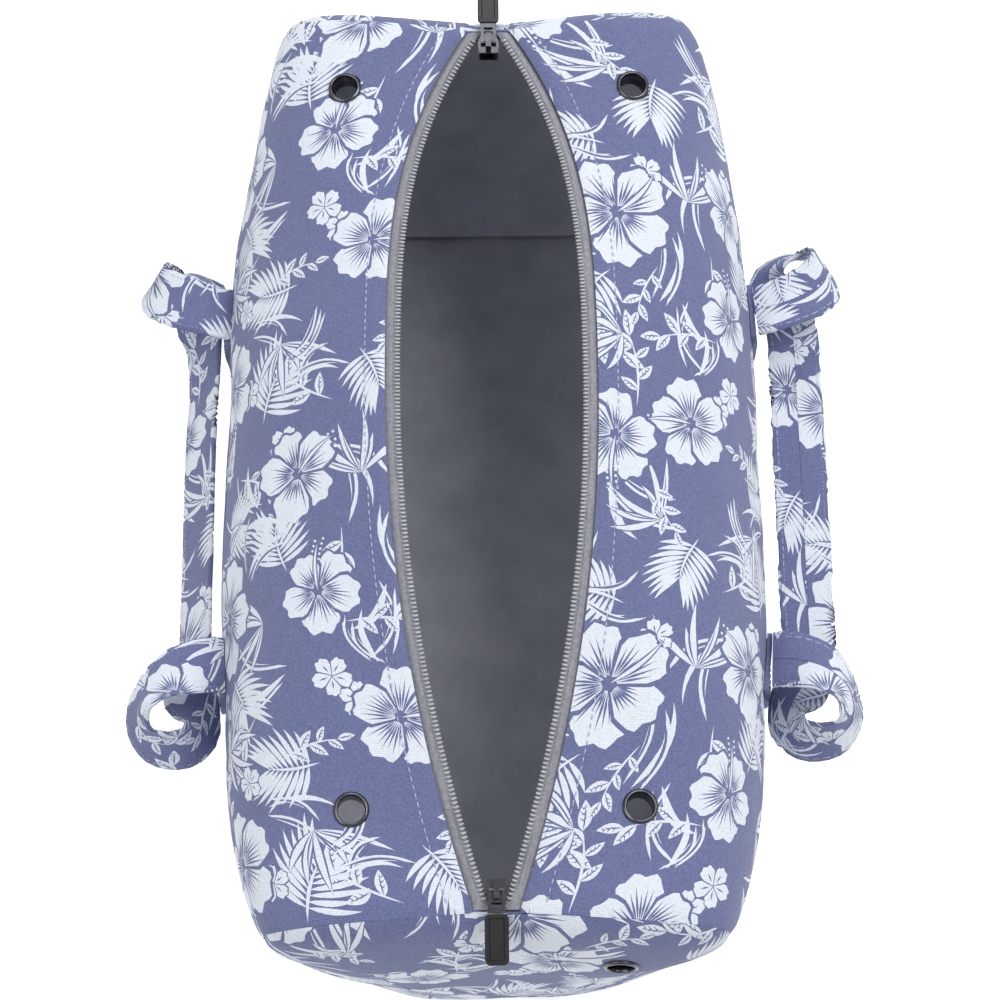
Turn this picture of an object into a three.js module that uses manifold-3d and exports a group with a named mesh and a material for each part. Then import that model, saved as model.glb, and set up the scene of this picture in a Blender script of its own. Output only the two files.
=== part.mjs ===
// A zipped knitting bag: a soft printed shell with a lining, a two-slider zip standing open,
// yarn eyelets and two strap handles. Millimetres, +Z up, the origin on the floor under the
// middle of the bag. The zip runs along X and the front long side faces -Y.
import * as THREE from 'three';
import { mergeVertices } from 'three/addons/utils/BufferGeometryUtils.js';
import ManifoldModule from 'manifold-3d';

const manifoldLibrary = await ManifoldModule();
manifoldLibrary.setup();

// ---- Driving sizes ---------------------------------------------------------------------
const SEAM_LENGTH = 390; // between the two end seams
const END_BULGE = 20; // how far each end panel swells past its seam
const MIDDLE_WIDTH = 240; // across the fullest part of the bag
const END_WIDTH = 190; // across the bag at the end seams
const MIDDLE_HEIGHT = 212; // floor to the zip's edge, halfway along
const END_HEIGHT = 200; // floor to the zip's edge, at the end seams
const MOUTH_WIDTH = 76; // between the two zip coils where the mouth gapes widest
const MOUTH_PEAK = -30; // the place along X where it gapes widest
const STRAP_WIDTH = 25;
const HANDLE_SPACING = 162; // between the middles of a handle's two ends
const EYELET_WIDTH = 14.4; // across an eyelet's flange
const EYELET_HOLE = 11;

// ---- Sizes that follow, and cloth thicknesses ----------------------------------------
const HALF_LENGTH = SEAM_LENGTH / 2;
const GAP = 0.3; // left between pieces that touch
const BASE_THICKNESS = 2.2;
const BOARD_THICKNESS = 2.5;
const CLOTH_THICKNESS = 3; // printed canvas with its foam backing
const LINING_THICKNESS = 0.8;
const LINING_DEPTH = 5; // from the shell's outer face in to the lining
const TAPE_THICKNESS = 0.9;
const TAPE_SHOWN = 7; // from a coil's inner edge to the folded edge of the canvas
const TAPE_HIDDEN = 9; // and from there on under the canvas
const COIL_WIDTH = 2.6;
const COIL_HEIGHT = 2.2;
const COIL_SUNK = 0.9; // the coil's top below the canvas edge
const COIL_END_HALF_GAP = 1.7; // half the space between the coils at the zip's ends
const STRAP_THICKNESS = 2.5;

const ALONG_STEPS = 18;
const SECTION_STEPS = 12;
const FLOOR_OF_WALL = BASE_THICKNESS + GAP;
const LINING_FLOOR = FLOOR_OF_WALL + BOARD_THICKNESS + LINING_THICKNESS + 2 * GAP;

// The wall from the base seam over the shoulder, as fractions of half width and height: round in
// the middle of the bag and square at its ends, where each point also has its place along X from
// the end of the zip.
const MIDDLE_OUTLINE = [[0.78, 0], [0.89, 0.17], [0.975, 0.38], [1, 0.53], [0.965, 0.7], [0.85, 0.845],
  [0.66, 0.93]];
const END_OUTLINE = [[0.8, 0, -10], [0.9, 0.24, -6], [0.96, 0.48, -1], [0.985, 0.7, 3], [1, 0.86, 6],
  [0.93, 0.965, 6], [0.66, 1.01, 4]];

// ---- Materials -------------------------------------------------------------------------
function material(color, roughness, metalness) {
  return new THREE.MeshStandardMaterial({ color, roughness, metalness });
}

const canvas = material(0x6a72a0, 0.9, 0);
const lining = material(0x7c7f8c, 0.85, 0);
const board = material(0xb9b2a4, 0.8, 0);
const tape = material(0x8f8f98, 0.85, 0);
const coil = material(0xa9acae, 0.45, 0);
const gunmetal = material(0x4a4b50, 0.3, 1);
const pullBlack = material(0x161418, 0.4, 0);

// ---- The bag's shape -------------------------------------------------------------------
function mouthHeight(x) {
  const rise = Math.cos((Math.PI / 2) * (x / HALF_LENGTH)) ** 2;
  return THREE.MathUtils.lerp(END_HEIGHT, MIDDLE_HEIGHT, rise);
}

// Half the gap between the coils: a leaf shape, rounder toward the left end.
function mouthHalf(x) {
  const reach = x > MOUTH_PEAK ? HALF_LENGTH - MOUTH_PEAK : HALF_LENGTH + MOUTH_PEAK;
  const power = x > MOUTH_PEAK ? 2.1 : 3;
  const openness = 1 - Math.abs((x - MOUTH_PEAK) / reach) ** power;
  return THREE.MathUtils.lerp(COIL_END_HALF_GAP, MOUTH_WIDTH / 2, openness);
}

function canvasEdge(x) {
  return mouthHalf(x) + TAPE_SHOWN;
}

// The back half's section at the place x along the zip, from the base seam to the zip.
function sectionCurve(x) {
  const share = x / HALF_LENGTH;
  const fullness = 1 - Math.abs(share) ** 4;
  const points = MIDDLE_OUTLINE.map(([across, up], k) => {
    const [endAcross, endUp, past] = END_OUTLINE[k];
    const y = THREE.MathUtils.lerp((END_WIDTH / 2) * endAcross, (MIDDLE_WIDTH / 2) * across, fullness);
    const z = THREE.MathUtils.lerp(END_HEIGHT * endUp, MIDDLE_HEIGHT * up, fullness);
    return new THREE.Vector3(x + past * share ** 3, y, Math.max(z, FLOOR_OF_WALL));
  });
  points.push(new THREE.Vector3(x, canvasEdge(x), mouthHeight(x)));
  return new THREE.CatmullRomCurve3(points, false, 'catmullrom', 0.5);
}

// One point of that section, from the base seam (t = 0) to the zip (t = 1), moved inward by
// depth. The cloth is level at the zip and upright at the base.
function sectionPoint(x, t, depth) {
  const curve = sectionCurve(x);
  const point = curve.getPoint(t);
  const tangent = curve.getTangent(t).setX(0).normalize();
  const inward = new THREE.Vector3(0, -tangent.z, tangent.y);
  if (t === 0) inward.set(0, -1, 0);
  if (t === 1) inward.set(0, 0, -1);
  return point.addScaledVector(inward, depth);
}

// Where along the section the top of the bag is y from the middle.
function sectionAt(x, y) {
  let [low, high] = [0.6, 1];
  for (let i = 0; i < 30; i += 1) {
    const middle = (low + high) / 2;
    if (sectionCurve(x).getPoint(middle).y > y) low = middle;
    else high = middle;
  }
  return (low + high) / 2;
}

function section(x, depth, lowest) {
  const points = [];
  for (let i = 0; i <= SECTION_STEPS; i += 1) {
    const point = sectionPoint(x, i / SECTION_STEPS, depth);
    points.push(point.setZ(Math.max(point.z, lowest)));
  }
  return points;
}

function stations(reach) {
  return Array.from({ length: ALONG_STEPS + 1 }, (_, i) => -reach + (2 * reach * i) / ALONG_STEPS);
}

// ---- Closed bodies from grids of points -------------------------------------------------
function signedVolume(positions, triangles) {
  let volume = 0;
  for (let i = 0; i < triangles.length; i += 3) {
    const [a, b, c] = [0, 1, 2].map((k) => positions[triangles[i + k]]);
    volume += a.dot(b.clone().cross(c)) / 6;
  }
  return volume;
}

function closedGeometry(positions, triangles) {
  if (signedVolume(positions, triangles) < 0) triangles.reverse();
  const geometry = new THREE.BufferGeometry();
  geometry.setAttribute('position', new THREE.Float32BufferAttribute(positions.flatMap((p) => p.toArray()), 3));
  geometry.setIndex(triangles);
  geometry.computeVertexNormals();
  return geometry;
}

// A sheet with thickness: two matching grids of points, joined round their edges.
function sheetBody(outer, inner) {
  const rows = outer.length;
  const columns = outer[0].length;
  const positions = [...outer.flat(), ...inner.flat()];
  const index = (side, row, column) => side * rows * columns + row * columns + column;
  const triangles = [];
  const quad = (a, b, c, d) => triangles.push(a, b, c, a, c, d);
  for (let r = 0; r < rows - 1; r += 1) {
    for (let c = 0; c < columns - 1; c += 1) {
      quad(index(0, r, c), index(0, r + 1, c), index(0, r + 1, c + 1), index(0, r, c + 1));
      quad(index(1, r, c), index(1, r, c + 1), index(1, r + 1, c + 1), index(1, r + 1, c));
    }
  }
  for (let r = 0; r < rows - 1; r += 1) {
    quad(index(0, r, 0), index(1, r, 0), index(1, r + 1, 0), index(0, r + 1, 0));
    const last = columns - 1;
    quad(index(0, r, last), index(0, r + 1, last), index(1, r + 1, last), index(1, r, last));
  }
  for (let c = 0; c < columns - 1; c += 1) {
    const last = rows - 1;
    quad(index(0, 0, c), index(0, 0, c + 1), index(1, 0, c + 1), index(1, 0, c));
    quad(index(0, last, c), index(1, last, c), index(1, last, c + 1), index(0, last, c + 1));
  }
  return closedGeometry(positions, triangles);
}

// A bowl with thickness: matching outer and inner rings, closed at the crown and at the rim.
function bowlBody(outerRings, outerCrown, innerRings, innerCrown) {
  const count = outerRings[0].length;
  const positions = [...outerRings.flat(), outerCrown, ...innerRings.flat(), innerCrown];
  const innerStart = outerRings.flat().length + 1;
  const triangles = [];
  const face = (a, b, c, inner) => triangles.push(...(inner ? [a, c, b] : [a, b, c]));
  for (const start of [0, innerStart]) {
    const inner = start > 0;
    for (let j = 0; j < count; j += 1) {
      const next = (j + 1) % count;
      for (let r = 0; r < outerRings.length - 1; r += 1) {
        const a = start + r * count;
        face(a + j, a + next, a + count + next, inner);
        face(a + j, a + count + next, a + count + j, inner);
      }
      const last = start + (outerRings.length - 1) * count;
      face(last + j, last + next, last + count, inner);
    }
  }
  for (let j = 0; j < count; j += 1) {
    const next = (j + 1) % count;
    face(j, innerStart + j, innerStart + next, false);
    face(j, innerStart + next, next, false);
  }
  return closedGeometry(positions, triangles);
}

// ---- Booleans --------------------------------------------------------------------------
function toSolid(geometry) {
  const plain = geometry.clone();
  plain.deleteAttribute('normal');
  plain.deleteAttribute('uv');
  const welded = mergeVertices(plain, 1e-4);
  return new manifoldLibrary.Manifold(new manifoldLibrary.Mesh({
    numProp: 3,
    vertProperties: new Float32Array(welded.attributes.position.array),
    triVerts: new Uint32Array(welded.index.array),
  }));
}

function toGeometry(solid) {
  const mesh = solid.getMesh();
  const geometry = new THREE.BufferGeometry();
  geometry.setAttribute('position', new THREE.BufferAttribute(new Float32Array(mesh.vertProperties), 3));
  geometry.setIndex(new THREE.BufferAttribute(new Uint32Array(mesh.triVerts), 1));
  geometry.computeVertexNormals();
  return geometry;
}

function joined(geometries) {
  return toGeometry(geometries.map(toSolid).reduce((all, one) => all.add(one)));
}

function cut(geometry, tools) {
  return toGeometry(tools.map(toSolid).reduce((all, tool) => all.subtract(tool), toSolid(geometry)));
}

function box(x0, x1, y0, y1, z0, z1) {
  const geometry = new THREE.BoxGeometry(x1 - x0, y1 - y0, z1 - z0);
  return geometry.translate((x0 + x1) / 2, (y0 + y1) / 2, (z0 + z1) / 2);
}

// ---- Shell, lining and base ------------------------------------------------------------
// side is -1 for the front half and +1 for the back half.
function longSide(side, depth, thickness, lowest) {
  const layer = (d) => stations(HALF_LENGTH - GAP).map((x) => (
    section(x, d, lowest).map((p) => new THREE.Vector3(p.x, side * p.y, p.z))
  ));
  return sheetBody(layer(depth), layer(depth + thickness));
}

// The outline that an end panel shares with the long sides and the base.
function endOutline(depth) {
  const back = section(HALF_LENGTH, depth, FLOOR_OF_WALL + depth);
  const front = back.map((p) => p.clone().setY(-p.y)).reverse();
  const zipMiddle = back[SECTION_STEPS].clone().setY(0);
  const bottom = [-0.6, -0.2, 0.2, 0.6].map((s) => back[0].clone().setY(s * back[0].y));
  return [...back, zipMiddle, ...front, ...bottom];
}

const END_MIDDLE = new THREE.Vector3(HALF_LENGTH, 0, END_HEIGHT / 2);
const END_RINGS = [1, 0.98, 0.92, 0.8, 0.5];

// end is -1 for the left end and +1 for the right; share is 1 at the seam, 0 at the middle.
function endPoint(end, outlinePoint, share, depth) {
  const point = END_MIDDLE.clone().lerp(outlinePoint, share);
  const seam = THREE.MathUtils.lerp(END_MIDDLE.x, outlinePoint.x, share ** 2);
  const swell = (END_BULGE - depth) * (1 - share ** 2.4) ** 0.55;
  return point.setX(end * (seam + swell));
}

function endPanel(end, depth, thickness) {
  const rings = (d) => END_RINGS.map((share) => endOutline(d).map((p) => endPoint(end, p, share, d)));
  const crown = (d) => endPoint(end, END_MIDDLE, 0, d);
  return bowlBody(rings(depth), crown(depth), rings(depth + thickness), crown(depth + thickness));
}

// A flat layer inside the base seam, shorter and narrower than it by inset.
function flatLayer(inset, z0, z1) {
  const layer = (z) => stations(HALF_LENGTH).map((x) => {
    const seam = sectionCurve(x).getPoint(0);
    const place = seam.x * (1 - inset / HALF_LENGTH);
    return [new THREE.Vector3(place, inset - seam.y, z), new THREE.Vector3(place, seam.y - inset, z)];
  });
  return sheetBody(layer(z1), layer(z0));
}

// ---- Zip -------------------------------------------------------------------------------
function zipTape(side) {
  const layer = (depth) => stations(HALF_LENGTH - 2 * GAP).map((x) => {
    const under = sectionPoint(x, sectionAt(x, canvasEdge(x) + TAPE_HIDDEN), depth);
    const z = mouthHeight(x) - depth;
    return [
      new THREE.Vector3(under.x, side * under.y, under.z),
      new THREE.Vector3(x, side * canvasEdge(x), z),
      new THREE.Vector3(x, side * (mouthHalf(x) + GAP), z),
    ];
  });
  const top = CLOTH_THICKNESS + GAP;
  return sheetBody(layer(top), layer(top + TAPE_THICKNESS));
}

function zipCoil(side) {
  const layer = (down) => stations(HALF_LENGTH - 4).map((x) => {
    const z = mouthHeight(x) - down;
    const inner = mouthHalf(x);
    return [new THREE.Vector3(x, side * inner, z), new THREE.Vector3(x, side * (inner + COIL_WIDTH), z)];
  });
  return sheetBody(layer(COIL_SUNK), layer(COIL_SUNK + COIL_HEIGHT));
}

const SLIDER_X = HALF_LENGTH - 8; // the middle of a slider at rest
const SLIDER_LENGTH = 9.4;
const SLIDER_WIDTH = 9.6;
const PLATE_THICKNESS = 1.2;
const TOP_PLATE = END_HEIGHT - COIL_SUNK + 0.4; // underside of the upper plate
const LOWER_PLATE = END_HEIGHT - CLOTH_THICKNESS - GAP - TAPE_THICKNESS - 0.6; // its top
const PIVOT_Z = TOP_PLATE + PLATE_THICKNESS + 1.1;
const CROSSBAR_RADIUS = 0.8;

function sliderPlate(z0, z1) {
  const shape = new THREE.Shape();
  const x = SLIDER_LENGTH / 2;
  const y = SLIDER_WIDTH / 2;
  shape.moveTo(-x, -y * 0.8);
  shape.quadraticCurveTo(0, -y * 1.2, x, -y * 0.6);
  shape.lineTo(x, y * 0.6);
  shape.quadraticCurveTo(0, y * 1.2, -x, y * 0.8);
  const plate = new THREE.ExtrudeGeometry(shape, { depth: z1 - z0, bevelEnabled: false, curveSegments: 6 });
  return plate.translate(0, 0, z0);
}

function slider() {
  const top = TOP_PLATE + PLATE_THICKNESS;
  const bridge = cut(box(-3.4, 3.4, -1.2, 1.2, top - 0.2, top + 3.5), [
    box(-2, 2, -2, 2, top, top + 2.3),
  ]);
  return joined([
    sliderPlate(TOP_PLATE, top),
    sliderPlate(LOWER_PLATE - PLATE_THICKNESS, LOWER_PLATE),
    box(1, 4, -0.8, 0.8, LOWER_PLATE - 0.2, TOP_PLATE + 0.2),
    bridge,
  ]);
}

const PULL_ARM = 9; // from the pivot to the tab's clip
const PULL_TAB_LENGTH = 20;
const PULL_TAB_WIDTH = 9.4;
const PULL_TAB_THICKNESS = 1.8;

// The pull lies outward, toward +X, from its pivot at the origin.
function pullLoop() {
  const bar = new THREE.CylinderGeometry(CROSSBAR_RADIUS, CROSSBAR_RADIUS, 6.4, 12);
  const arm = (side) => box(-0.7, PULL_ARM - 1, Math.min(side * 2, side * 3.4), Math.max(side * 2, side * 3.4),
    -0.7, 0.7);
  return joined([bar, arm(-1), arm(1), box(PULL_ARM - 2, PULL_ARM, -3.6, 3.6, -0.7, 0.7)]);
}

function pullTab() {
  const start = PULL_ARM + GAP;
  const half = PULL_TAB_WIDTH / 2;
  const thick = PULL_TAB_THICKNESS / 2;
  return box(start, start + PULL_TAB_LENGTH, -half, half, -thick, thick);
}

// ---- Eyelets ---------------------------------------------------------------------------
const EYELET_FROM_ZIP = 36; // from the canvas edge, level across the top
const EYELET_FROM_RIGHT_SEAM = 43;
const EYELET_FROM_LEFT_SEAM = 32;
const BARREL_WALL = 0.7;
const EYELET_STACK = LINING_DEPTH + LINING_THICKNESS; // the cloth that an eyelet clamps

// A frame on a surface: its origin on the cloth and its Z along the cloth's outward normal.
function surfaceFrame(surface, u, v, outward) {
  const step = 0.005;
  const along = surface(u + step, v).sub(surface(u - step, v));
  const across = surface(u, v + step).sub(surface(u, v - step));
  const normal = along.cross(across).normalize();
  if (normal.dot(outward) < 0) normal.negate();
  const turn = new THREE.Quaternion().setFromUnitVectors(new THREE.Vector3(0, 0, 1), normal);
  return new THREE.Matrix4().compose(surface(u, v), turn, new THREE.Vector3(1, 1, 1));
}

function topFrame(x, side) {
  const t = sectionAt(x, canvasEdge(x) + EYELET_FROM_ZIP);
  const surface = (u, v) => {
    const p = sectionCurve(u).getPoint(v);
    return p.setY(side * p.y);
  };
  return surfaceFrame(surface, x, t, new THREE.Vector3(0, 0, 1));
}

function rightEndFrame() {
  const surface = (t, share) => endPoint(1, sectionCurve(HALF_LENGTH).getPoint(t), share, 0);
  return surfaceFrame(surface, 0.82, 0.69, new THREE.Vector3(1, 0, 0));
}

const RIGHT_X = HALF_LENGTH - EYELET_FROM_RIGHT_SEAM;
const LEFT_X = EYELET_FROM_LEFT_SEAM - HALF_LENGTH;
const EYELETS = [
  { name: 'front_right', frame: topFrame(RIGHT_X, -1) },
  { name: 'back_right', frame: topFrame(RIGHT_X, 1) },
  { name: 'front_left', frame: topFrame(LEFT_X, -1) },
  { name: 'back_left', frame: topFrame(LEFT_X, 1) },
  { name: 'right_end', frame: rightEndFrame() },
];

function turned(outline) {
  const closed = [...outline, outline[0]].map(([radius, z]) => new THREE.Vector2(radius, z));
  return new THREE.LatheGeometry(closed, 16).rotateX(Math.PI / 2);
}

function eyeletHole(frame) {
  const radius = EYELET_HOLE / 2 + BARREL_WALL + GAP;
  return new THREE.CylinderGeometry(radius, radius, 24, 16).rotateX(Math.PI / 2).applyMatrix4(frame);
}

function eyelet() {
  const hole = EYELET_HOLE / 2;
  const rim = EYELET_WIDTH / 2;
  const barrel = hole + BARREL_WALL;
  const foot = -EYELET_STACK - 2.6;
  return turned([[hole, foot], [barrel, foot], [barrel, 0.6], [rim, 0.6], [rim - 0.5, 1.3], [hole, 1.5]]);
}

function eyeletWasher() {
  const inner = EYELET_HOLE / 2 + BARREL_WALL + GAP;
  const outer = EYELET_WIDTH / 2 + 0.6;
  const top = -EYELET_STACK - 1.6;
  return turned([[inner, top - 0.8], [outer, top - 0.8], [outer, top], [inner, top]]);
}

// ---- Handles ---------------------------------------------------------------------------
const ANCHOR_X = HANDLE_SPACING / 2;
const ANCHOR_HEIGHT = 36; // of the sewn-down end of a strap
const HINGE_SHARE = 0.7; // how high up the wall a strap leaves it, as a share of the height
const HINGE_Z = mouthHeight(ANCHOR_X) * HINGE_SHARE;
const GRIP_OVERHANG = 34; // how far the grip runs past each strap end's middle

function wallAt(x, z) {
  let [low, high] = [0, 0.75];
  for (let i = 0; i < 30; i += 1) {
    const middle = (low + high) / 2;
    if (sectionCurve(x).getPoint(middle).z < z) low = middle;
    else high = middle;
  }
  return sectionCurve(x).getPoint((low + high) / 2).y;
}

const HINGE_Y = wallAt(ANCHOR_X, HINGE_Z) + STRAP_THICKNESS / 2 + GAP;

// The sewn-down strap end: a patch that follows the wall below the hinge line.
function handleAnchor(x, side) {
  const columns = [-0.5, 0, 0.5].map((s) => x + s * STRAP_WIDTH);
  const rows = [0, 0.25, 0.5, 0.75, 1].map((s) => (
    HINGE_Z - STRAP_THICKNESS / 2 - GAP - (1 - s) * ANCHOR_HEIGHT
  ));
  const layer = (out) => rows.map((z) => columns.map((c) => (
    new THREE.Vector3(c, side * (wallAt(c, z) + out), z)
  )));
  return sheetBody(layer(GAP + STRAP_THICKNESS), layer(GAP));
}

// A strap seen edge on: a line of [outward, up] points given the strap's thickness.
function strapShape(points) {
  const curve = new THREE.SplineCurve(points.map(([out, up]) => new THREE.Vector2(out, up)));
  const steps = 3 * points.length;
  const edge = (offset) => Array.from({ length: steps + 1 }, (_, i) => {
    const tangent = curve.getTangent(i / steps);
    return curve.getPoint(i / steps).add(new THREE.Vector2(-tangent.y, tangent.x).multiplyScalar(offset));
  });
  return new THREE.Shape([...edge(STRAP_THICKNESS / 2), ...edge(-STRAP_THICKNESS / 2).reverse()]);
}

// The free part of a strap, drooped outward: each end leaves the wall, rolls over and turns
// under, and the grip lies flat below, between the two rolls. The hinge line is its X axis.
function handle(side) {
  const gripNear = 6.5;
  const gripDown = -17;
  const roll = strapShape([[0.4, 0], [12, 6], [25, 6.5], [35, 0], [37, -9], [30, -16.4], [20, gripDown],
    [gripNear, gripDown]]);
  const end = (x) => new THREE.ExtrudeGeometry(roll, { depth: STRAP_WIDTH, bevelEnabled: false })
    .rotateX(Math.PI / 2).rotateZ(Math.PI / 2).translate(x - STRAP_WIDTH / 2, 0, 0);
  const reach = ANCHOR_X + GRIP_OVERHANG;
  const half = STRAP_THICKNESS / 2;
  const grip = box(-reach, reach, gripNear, gripNear + STRAP_WIDTH, gripDown - half, gripDown + half);
  const body = joined([end(-ANCHOR_X), end(ANCHOR_X), grip]);
  return side > 0 ? body : body.rotateZ(Math.PI);
}

// ---- Assembly --------------------------------------------------------------------------
const bag = new THREE.Group();

function addPiece(name, geometry, look, position = [0, 0, 0]) {
  const mesh = new THREE.Mesh(geometry, look);
  mesh.name = name;
  mesh.position.set(...position);
  bag.add(mesh);
  return mesh;
}

function addLongSide(label, side) {
  const holes = EYELETS.filter(({ name }) => name.startsWith(label)).map(({ frame }) => eyeletHole(frame));
  addPiece(`${label}_panel`, cut(longSide(side, 0, CLOTH_THICKNESS, FLOOR_OF_WALL), holes), canvas);
  const inside = longSide(side, LINING_DEPTH, LINING_THICKNESS, LINING_FLOOR);
  addPiece(`${label}_lining`, cut(inside, holes), lining);
  addPiece(`${label}_zip_tape`, zipTape(side), tape);
  addPiece(`${label}_zip_coil`, zipCoil(side), coil);
  for (const [where, x] of [['left', -ANCHOR_X], ['right', ANCHOR_X]]) {
    addPiece(`${label}_handle_anchor_${where}`, handleAnchor(x, side), canvas);
  }
  addPiece(`${label}_handle`, handle(side), canvas, [0, side * HINGE_Y, HINGE_Z]);
}

function addEnd(label, end) {
  const holes = EYELETS.filter(({ name }) => name === `${label}_end`).map(({ frame }) => eyeletHole(frame));
  addPiece(`${label}_end_panel`, cut(endPanel(end, 0, CLOTH_THICKNESS), holes), canvas);
  addPiece(`${label}_end_lining`, cut(endPanel(end, LINING_DEPTH, LINING_THICKNESS), holes), lining);
}

function addZipPull(label, end) {
  const turn = end > 0 ? 0 : Math.PI;
  addPiece(`${label}_zip_slider`, slider().rotateZ(turn), gunmetal, [end * SLIDER_X, 0, 0]);
  addPiece(`${label}_pull_loop`, pullLoop().rotateZ(turn), gunmetal, [end * SLIDER_X, 0, PIVOT_Z]);
  addPiece(`${label}_pull_tab`, pullTab().rotateZ(turn), pullBlack, [end * SLIDER_X, 0, PIVOT_Z]);
}

function addBase() {
  const boardTop = FLOOR_OF_WALL + BOARD_THICKNESS;
  const boardInset = CLOTH_THICKNESS + 3 * GAP;
  addPiece('base_panel', flatLayer(0, 0, BASE_THICKNESS), canvas);
  addPiece('base_board', flatLayer(boardInset, FLOOR_OF_WALL, boardTop), board);
  const liningBottom = boardTop + GAP;
  addPiece('base_lining', flatLayer(boardInset, liningBottom, liningBottom + LINING_THICKNESS), lining);
}

addBase();
addLongSide('front', -1);
addLongSide('back', 1);
addEnd('left', -1);
addEnd('right', 1);
addZipPull('left', -1);
addZipPull('right', 1);
for (const { name, frame } of EYELETS) {
  addPiece(`eyelet_${name}`, eyelet().applyMatrix4(frame), gunmetal);
  addPiece(`eyelet_washer_${name}`, eyeletWasher().applyMatrix4(frame), gunmetal);
}

export default bag;
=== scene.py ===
"""The looks of the knitting bag: printed canvas, lining, open zip, eyelets and strap handles."""
import math
import random

import bmesh
import bpy
import numpy as np
from mathutils import Matrix, Vector, noise
from mathutils.geometry import delaunay_2d_cdt


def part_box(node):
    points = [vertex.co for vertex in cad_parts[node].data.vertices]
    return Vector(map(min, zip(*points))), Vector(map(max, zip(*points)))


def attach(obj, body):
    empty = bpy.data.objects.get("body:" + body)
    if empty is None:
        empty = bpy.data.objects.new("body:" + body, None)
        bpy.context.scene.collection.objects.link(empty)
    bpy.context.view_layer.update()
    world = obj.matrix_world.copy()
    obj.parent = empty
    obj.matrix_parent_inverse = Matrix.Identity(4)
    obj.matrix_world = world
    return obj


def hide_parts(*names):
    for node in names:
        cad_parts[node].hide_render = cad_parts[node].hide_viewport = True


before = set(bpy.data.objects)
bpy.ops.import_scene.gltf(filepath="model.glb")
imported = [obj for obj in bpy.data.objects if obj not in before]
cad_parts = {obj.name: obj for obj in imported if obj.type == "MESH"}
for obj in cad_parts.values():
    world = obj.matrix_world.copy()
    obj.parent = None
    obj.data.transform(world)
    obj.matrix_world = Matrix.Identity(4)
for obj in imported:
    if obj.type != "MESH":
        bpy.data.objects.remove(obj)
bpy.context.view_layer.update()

MM = 0.001


# ---- Camera, lights and floor -----------------------------------------------------------
def make_camera():
    data = bpy.data.cameras.new("camera")
    data.lens = 82.0
    camera = bpy.data.objects.new("camera", data)
    bpy.context.collection.objects.link(camera)
    elevation = math.radians(70)
    middle = Vector((0, 0, 0.2))
    away = Vector((math.cos(elevation), 0, math.sin(elevation)))
    camera.location = middle + away * 0.95
    aim = Vector((0.026, 0.003, 0.2))
    toward = aim - camera.location
    camera.rotation_euler = toward.to_track_quat("-Z", "Y").to_euler()
    bpy.context.scene.camera = camera


def add_light(name, place, size, power):
    data = bpy.data.lights.new(name, "AREA")
    data.shape = "DISK"
    data.size = size
    data.energy = power
    light = bpy.data.objects.new(name, data)
    bpy.context.collection.objects.link(light)
    light.location = place
    light.rotation_euler = (Vector((0, 0, 0.1)) - Vector(place)).to_track_quat("-Z", "Y").to_euler()


def make_studio():
    add_light("key", (-0.3, 0.8, 1.7), 1.1, 18)
    add_light("fill", (0.5, -1.0, 1.5), 1.4, 9)
    add_light("back", (-1.3, 0.1, 1.3), 1.2, 8)
    world = bpy.data.worlds.new("studio")
    world.use_nodes = True
    background = world.node_tree.nodes["Background"]
    background.inputs["Color"].default_value = (1, 1, 1, 1)
    background.inputs["Strength"].default_value = 0.46
    bpy.context.scene.world = world
    bpy.context.scene.view_settings.view_transform = "Standard"
    mesh = bpy.data.meshes.new("floor")
    reach = 6.0
    corners = [(-reach, -reach, 0), (reach, -reach, 0), (reach, reach, 0), (-reach, reach, 0)]
    mesh.from_pydata(corners, [], [(0, 1, 2, 3)])
    floor = bpy.data.objects.new("floor", mesh)
    floor.location.z = -0.0005
    bpy.context.collection.objects.link(floor)
    look = bpy.data.materials.new("floor")
    look.use_nodes = True
    shader = look.node_tree.nodes["Principled BSDF"]
    shader.inputs["Base Color"].default_value = (0.93, 0.93, 0.94, 1)
    shader.inputs["Roughness"].default_value = 0.9
    shader.inputs["Emission Color"].default_value = (1, 1, 1, 1)
    shader.inputs["Emission Strength"].default_value = 0.5
    mesh.materials.append(look)


make_camera()
make_studio()


# ---- Materials ---------------------------------------------------------------------------
def srgb(red, green, blue):
    def linear(c):
        c /= 255
        return c / 12.92 if c <= 0.04045 else ((c + 0.055) / 1.055) ** 2.4
    return (linear(red), linear(green), linear(blue), 1)


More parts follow.
